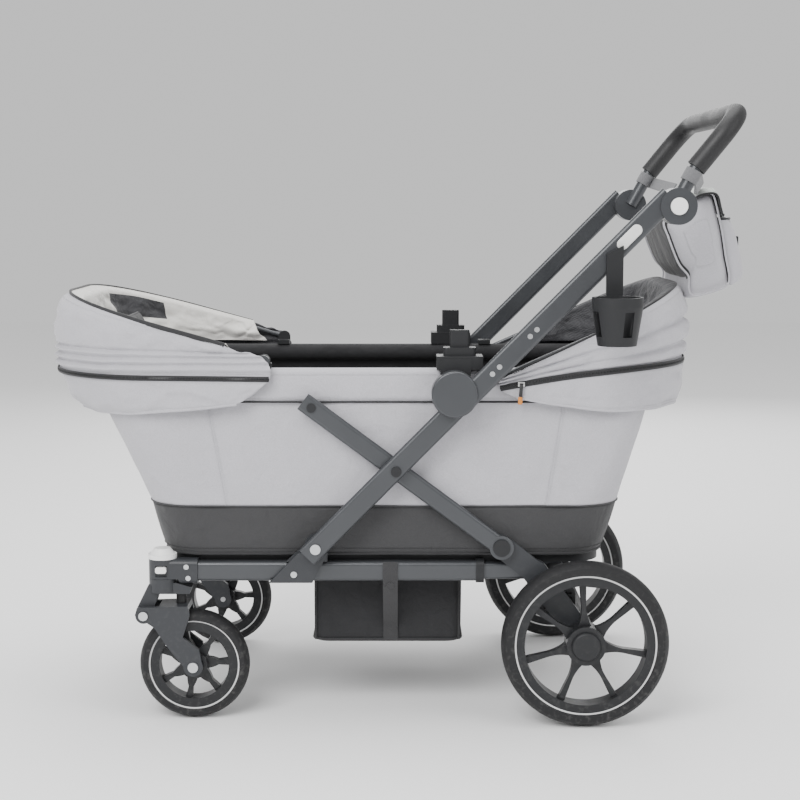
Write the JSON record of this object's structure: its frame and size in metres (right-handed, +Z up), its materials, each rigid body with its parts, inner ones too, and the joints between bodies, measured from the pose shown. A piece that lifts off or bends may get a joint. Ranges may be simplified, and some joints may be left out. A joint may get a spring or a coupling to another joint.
{
  "type": "folding push wagon for children",
  "caption": "Folding four-wheel wagon for children with fabric tub, footwell, X side frame, two canopies, swivelling front wheels and a push handle.",
  "frame": {"origin": "on the floor under the middle of the wagon, on its centre plane", "axes": "+X to the rear where the push handle is, +Y to the wagon's right side, +Z up"},
  "size_m": [1.239, 0.7235, 1.0745],
  "materials": {
    "frame_metal": "satin slate grey powder coat",
    "dark_plastic": "fine moulded texture",
    "frame_plastic": "satin moulded",
    "white_plastic": "satin white",
    "rim_plastic": "satin black moulded",
    "tyre_foam": "matt solid foam rubber",
    "steel": "zinc plated",
    "grip_foam": "matt leather-like foam",
    "light_fabric": "light grey melange weave",
    "dark_fabric": "charcoal plain weave",
    "black_fabric": "black padded weave",
    "webbing": "black woven webbing",
    "pedal_plastic": "ribbed black"
  },
  "bodies": {
    "chassis": {"outer_rails": "frame_metal", "rail_collars": "dark_plastic", "cross_tubes": "frame_metal", "front_castings": "frame_plastic", "caster_caps": "white_plastic", "frame_brackets": "frame_plastic", "frame_bolts": "steel", "tub_base": "dark_fabric", "tub_walls": "light_fabric", "floor_panel": "dark_plastic", "footwell": "dark_fabric", "footwell_straps": "webbing", "seat_pads": "black_fabric", "backrests": "black_fabric"},
    "rear_carriage": {"inner_rails": "frame_metal", "rear_legs": "frame_plastic", "rear_axle": "steel", "brake_housing": "dark_plastic"},
    "brake_lever": {"brake_pedal": "pedal_plastic"},
    "lower_arm_pair": {"lower_arms": "frame_metal"},
    "cross_leg_pair": {"cross_legs": "frame_metal", "cross_leg_bolts": "dark_plastic"},
    "top_frame": {"top_rail": "frame_metal", "fold_hubs": "dark_plastic", "car_seat_adapters": "dark_plastic", "canopy_clamps": "dark_plastic", "front_canopy_fabric": "light_fabric", "rear_canopy_fabric": "light_fabric"},
    "front_canopy": {"front_canopy_bow": "frame_metal"},
    "rear_canopy": {"rear_canopy_bow": "frame_metal"},
    "handle_frame": {"handle_arms": "frame_metal", "arm_screws": "steel", "cup_holder": "dark_plastic", "storage_bag": "light_fabric"},
    "push_bar": {"push_handle": "frame_metal", "push_grip": "grip_foam", "bag_straps": "webbing"},
    "left_rear_wheel_set": {"left_rear_wheel": "rim_plastic", "left_rear_tyre": "tyre_foam", "left_rear_hub_cap": "dark_plastic"},
    "left_caster": {"left_caster_knuckle": "frame_plastic"},
    "left_swing_fork": {"left_caster_fork": "frame_plastic", "left_caster_bolts": "steel", "left_caster_spring": "tyre_foam"},
    "left_front_wheel_set": {"left_front_wheel": "rim_plastic", "left_front_tyre": "tyre_foam"},
    "left_lock": {"left_swivel_lock": "white_plastic"},
    "left_button": {"left_tilt_button": "white_plastic"},
    "right_rear_wheel_set": {"right_rear_wheel": "rim_plastic", "right_rear_tyre": "tyre_foam", "right_rear_hub_cap": "dark_plastic"},
    "right_caster": {"right_caster_knuckle": "frame_plastic"},
    "right_swing_fork": {"right_caster_fork": "frame_plastic", "right_caster_bolts": "steel", "right_caster_spring": "tyre_foam"},
    "right_front_wheel_set": {"right_front_wheel": "rim_plastic", "right_front_tyre": "tyre_foam"},
    "right_lock": {"right_swivel_lock": "white_plastic"},
    "right_button": {"right_tilt_button": "white_plastic"}
  },
  "joints": [
    {"name": "frame_fold", "type": "slide", "parent": "chassis", "child": "top_frame", "axis": [0.4777, 0, -0.8785], "range_m": [0, 0.24691], "deforming": ["tub_walls", "backrests"]},
    {"name": "lower_arm_turn", "type": "hinge", "parent": "chassis", "child": "lower_arm_pair", "pos_m": [-0.161, 0, 0.3115], "axis": [0, 1, 0], "range_deg": [0, 40.2]},
    {"name": "cross_leg_turn", "type": "hinge", "parent": "lower_arm_pair", "child": "cross_leg_pair", "pos_m": [-0.0215, 0, 0.447], "axis": [0, -1, 0], "range_deg": [0, 71.1]},
    {"name": "rear_carriage_slide", "type": "slide", "parent": "chassis", "child": "rear_carriage", "axis": [1, 0, 0], "range_m": [0, 0.1145]},
    {"name": "handle_fold", "type": "hinge", "parent": "top_frame", "child": "handle_frame", "pos_m": [0.078, 0, 0.582], "axis": [0, -1, 0], "range_deg": [0, 110]},
    {"name": "handle_tilt", "type": "hinge", "parent": "handle_frame", "child": "push_bar", "pos_m": [0.4514, 0, 0.8992], "axis": [0, -1, 0], "range_deg": [-50, 20], "deforming": ["bag_straps"]},
    {"name": "front_canopy_open", "type": "hinge", "parent": "top_frame", "child": "front_canopy", "pos_m": [-0.25, 0, 0.634], "axis": [0, -1, 0], "range_deg": [-75, 0], "deforming": ["front_canopy_fabric"]},
    {"name": "rear_canopy_open", "type": "hinge", "parent": "top_frame", "child": "rear_canopy", "pos_m": [0.155, 0, 0.606], "axis": [0, 1, 0], "range_deg": [-75, 0], "deforming": ["rear_canopy_fabric"]},
    {"name": "brake_press", "type": "hinge", "parent": "rear_carriage", "child": "brake_lever", "pos_m": [0.283, 0, 0.2405], "axis": [0, 1, 0], "range_deg": [0, 14]},
    {"name": "left_rear_wheel_spin", "type": "hinge", "parent": "rear_carriage", "child": "left_rear_wheel_set", "pos_m": [0.306, -0.295, 0.146], "axis": [0, 1, 0], "continuous": true},
    {"name": "left_caster_swivel", "type": "hinge", "parent": "chassis", "child": "left_caster", "pos_m": [-0.432, -0.2435, 0.24], "axis": [0, 0, 1], "continuous": true},
    {"name": "left_suspension", "type": "hinge", "parent": "left_caster", "child": "left_swing_fork", "pos_m": [-0.463, -0.2435, 0.189], "axis": [0, -1, 0], "range_deg": [0, 5], "stiffness_Nm_per_rad": 260, "springref_deg": -2.86, "deforming": ["left_caster_spring"]},
    {"name": "left_front_wheel_spin", "type": "hinge", "parent": "left_swing_fork", "child": "left_front_wheel_set", "pos_m": [-0.3776, -0.2435, 0.097], "axis": [0, 1, 0], "continuous": true},
    {"name": "left_swivel_lock_slide", "type": "slide", "parent": "chassis", "child": "left_lock", "axis": [0, 0, -1], "range_m": [0, 0.005]},
    {"name": "left_tilt_button_press", "type": "slide", "parent": "handle_frame", "child": "left_button", "axis": [0, 1, 0], "range_m": [0, 0.003], "stiffness_N_per_m": 600},
    {"name": "right_rear_wheel_spin", "type": "hinge", "parent": "rear_carriage", "child": "right_rear_wheel_set", "pos_m": [0.306, 0.295, 0.146], "axis": [0, 1, 0], "continuous": true},
    {"name": "right_caster_swivel", "type": "hinge", "parent": "chassis", "child": "right_caster", "pos_m": [-0.432, 0.2435, 0.24], "axis": [0, 0, 1], "continuous": true},
    {"name": "right_suspension", "type": "hinge", "parent": "right_caster", "child": "right_swing_fork", "pos_m": [-0.463, 0.2435, 0.189], "axis": [0, -1, 0], "range_deg": [0, 5], "stiffness_Nm_per_rad": 260, "springref_deg": -2.86, "deforming": ["right_caster_spring"]},
    {"name": "right_front_wheel_spin", "type": "hinge", "parent": "right_swing_fork", "child": "right_front_wheel_set", "pos_m": [-0.3776, 0.2435, 0.097], "axis": [0, 1, 0], "continuous": true},
    {"name": "right_swivel_lock_slide", "type": "slide", "parent": "chassis", "child": "right_lock", "axis": [0, 0, -1], "range_m": [0, 0.005]},
    {"name": "right_tilt_button_press", "type": "slide", "parent": "handle_frame", "child": "right_button", "axis": [0, -1, 0], "range_m": [0, 0.003], "stiffness_N_per_m": 600}
  ],
  "couplings": [
    {"joint": "lower_arm_turn", "follows": "frame_fold", "rad_per_m": 2.8275},
    {"joint": "cross_leg_turn", "follows": "frame_fold", "rad_per_m": 5.0046},
    {"joint": "rear_carriage_slide", "follows": "frame_fold", "ratio": 0.46171}
  ]
}
